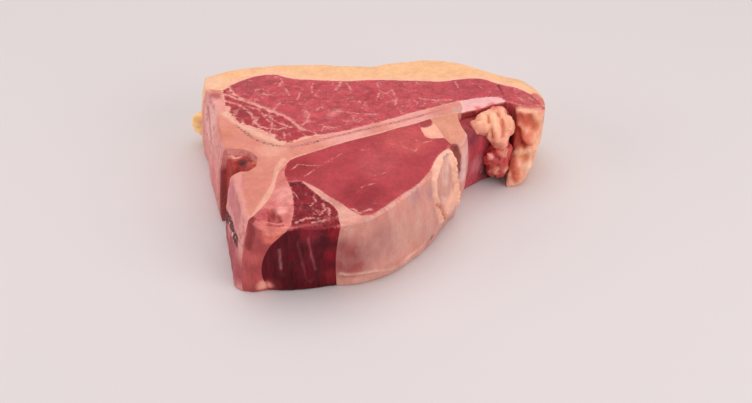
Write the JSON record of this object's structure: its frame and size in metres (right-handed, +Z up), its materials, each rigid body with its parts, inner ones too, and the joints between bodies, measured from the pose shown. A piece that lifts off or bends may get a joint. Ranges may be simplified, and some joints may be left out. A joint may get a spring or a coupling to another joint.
{
  "type": "raw t-bone steak",
  "caption": "Thick raw T-bone steak lying flat: strip loin and fillet either side of a T-shaped bone, with a fat cap and loose tail fat.",
  "frame": {"origin": "middle of the footprint, on the underside", "axes": "+X from the chine bone towards the tail end, +Y towards the fat cap, +Z up out of the cut face"},
  "size_m": [0.2144, 0.1716, 0.0451],
  "materials": {
    "fat": "firm cream-yellow fat, faintly moist",
    "soft_fat": "soft peach fat and membrane, moist",
    "muscle": "fresh red lean with pale marbling, moist sheen",
    "dark_muscle": "dark maroon cut side of the lean, wet",
    "sheath": "greyish translucent silverskin over fat, wet",
    "bone": "sawn salmon-tan bone",
    "sinew": "pink connective tissue",
    "gristle": "pink cartilage, smooth"
  },
  "bodies": {
    "root": {"fat_cap": "fat", "fat_scrap": "fat", "seam_fat": "fat", "channel_fat": "soft_fat", "tail_flap": "soft_fat", "fat_lump": "soft_fat", "strip_loin": "muscle", "inner_loin": "muscle", "fillet": "muscle", "flank_meat": "muscle", "trim_lump": "muscle", "side_muscle": "dark_muscle", "fillet_fat": "sheath", "canal_lining": "sinew", "bone_sinew": "sinew", "t_bone": "bone", "gristle_tip": "gristle"}
  },
  "joints": []
}
